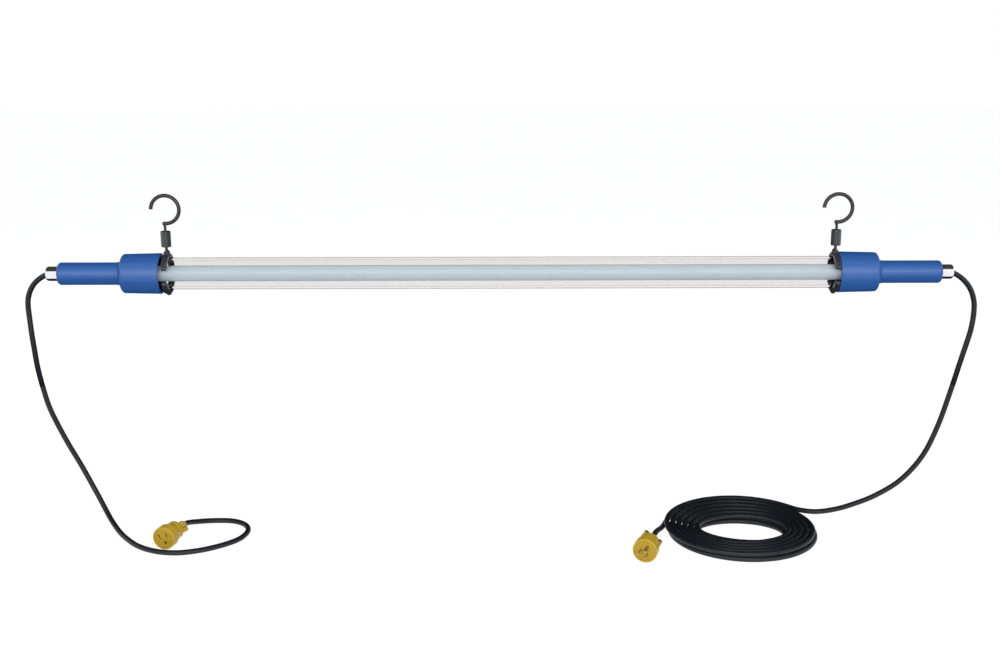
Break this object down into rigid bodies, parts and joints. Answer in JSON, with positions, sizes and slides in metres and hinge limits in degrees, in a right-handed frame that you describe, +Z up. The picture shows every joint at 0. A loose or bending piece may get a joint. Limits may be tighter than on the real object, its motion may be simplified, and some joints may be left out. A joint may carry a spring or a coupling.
{
  "type": "portable tube work light",
  "caption": "Portable tube work light: clear guard tube over a slim lamp, moulded handles, swivel hanging hooks, a coiled supply cord with plug and a short cord with socket.",
  "frame": {"origin": "seat in the crown of the left hook, on the inside of the ring, where the thing it hangs from bears", "axes": "+X along the lamp towards the end with the long supply cord, +Y away from the front, +Z up along the hooks"},
  "size_m": [1.5298, 0.2724, 0.558],
  "materials": {
    "clear_tube": "clear, glossy",
    "frosted_lens": "frosted, smooth",
    "lamp_metal": "satin",
    "board": "smooth",
    "chips": "smooth",
    "driver": "smooth",
    "contact_metal": "satin",
    "white_holder": "smooth",
    "blue_handle": "satin",
    "black_seal": "matte",
    "black_band": "satin",
    "black_steel": "satin",
    "grey_barrel": "satin",
    "dark_screw": "satin",
    "steel": "satin",
    "gland_metal": "polished",
    "cord_jacket": "matte",
    "wire_black": "smooth",
    "wire_white": "smooth",
    "wire_green": "smooth",
    "yellow_shell": "satin"
  },
  "bodies": {
    "lamp": {"guard_tube": "clear_tube", "lamp_lens": "frosted_lens", "lamp_heat_sink": "lamp_metal", "lamp_cap_left": "lamp_metal", "lamp_cap_right": "lamp_metal", "lamp_board": "board", "lamp_chips": "chips", "lamp_driver": "driver", "lamp_pins": "contact_metal", "holder_contacts": "contact_metal", "holder_leads": "contact_metal", "plug_blades": "contact_metal", "plug_ground_pin": "contact_metal", "socket_contacts": "contact_metal", "lampholder_left": "white_holder", "lampholder_right": "white_holder", "end_cap_left": "blue_handle", "end_cap_right": "blue_handle", "mouth_seal_left": "black_seal", "mouth_seal_right": "black_seal", "gland_grommet_left": "black_seal", "gland_grommet_right": "black_seal", "plug_clamp_screws": "steel", "socket_clamp_screws": "steel", "gland_body_left": "gland_metal", "gland_body_right": "gland_metal", "gland_nut_left": "gland_metal", "gland_nut_right": "gland_metal", "gland_locknut_left": "gland_metal", "gland_locknut_right": "gland_metal", "jacket_ends": "cord_jacket", "cord_left": "cord_jacket", "cord_right": "cord_jacket", "cord_coil": "cord_jacket", "plug_cord_end": "cord_jacket", "socket_cord_end": "cord_jacket", "wire_black": "wire_black", "wire_white": "wire_white", "wire_green": "wire_green", "plug_body": "yellow_shell", "plug_face": "yellow_shell", "plug_clamp": "yellow_shell", "socket_body": "yellow_shell", "socket_face": "yellow_shell", "socket_clamp": "yellow_shell"},
    "band_left": {"hanger_band_left": "black_band", "set_screw_left": "dark_screw", "band_nut_left": "steel", "pivot_pin_left": "black_steel"},
    "hanger_left": {"eye_stem_left": "black_steel", "swivel_barrel_left": "grey_barrel"},
    "swivel_hook_left": {"hook_left": "black_steel"},
    "band_right": {"hanger_band_right": "black_band", "set_screw_right": "dark_screw", "band_nut_right": "steel", "pivot_pin_right": "black_steel"},
    "hanger_right": {"eye_stem_right": "black_steel", "swivel_barrel_right": "grey_barrel"},
    "swivel_hook_right": {"hook_right": "black_steel"}
  },
  "joints": [
    {"name": "band_turn_left", "type": "hinge", "parent": "lamp", "child": "band_left", "pos_m": [-0.0012, 0, -0.122], "axis": [1, 0, 0], "continuous": true},
    {"name": "hanger_tilt_left", "type": "hinge", "parent": "band_left", "child": "hanger_left", "pos_m": [-0.0012, 0, -0.0885], "axis": [0, 1, 0], "range_deg": [-45, 60]},
    {"name": "hook_swivel_left", "type": "hinge", "parent": "hanger_left", "child": "swivel_hook_left", "pos_m": [-0.0012, 0, -0.04], "axis": [0, 0, 1], "continuous": true},
    {"name": "band_turn_right", "type": "hinge", "parent": "lamp", "child": "band_right", "pos_m": [1.0633, 0, -0.122], "axis": [1, 0, 0], "continuous": true},
    {"name": "hanger_tilt_right", "type": "hinge", "parent": "band_right", "child": "hanger_right", "pos_m": [1.0633, 0, -0.0885], "axis": [0, -1, 0], "range_deg": [-45, 60]},
    {"name": "hook_swivel_right", "type": "hinge", "parent": "hanger_right", "child": "swivel_hook_right", "pos_m": [1.0633, 0, -0.04], "axis": [0, 0, 1], "continuous": true}
  ]
}
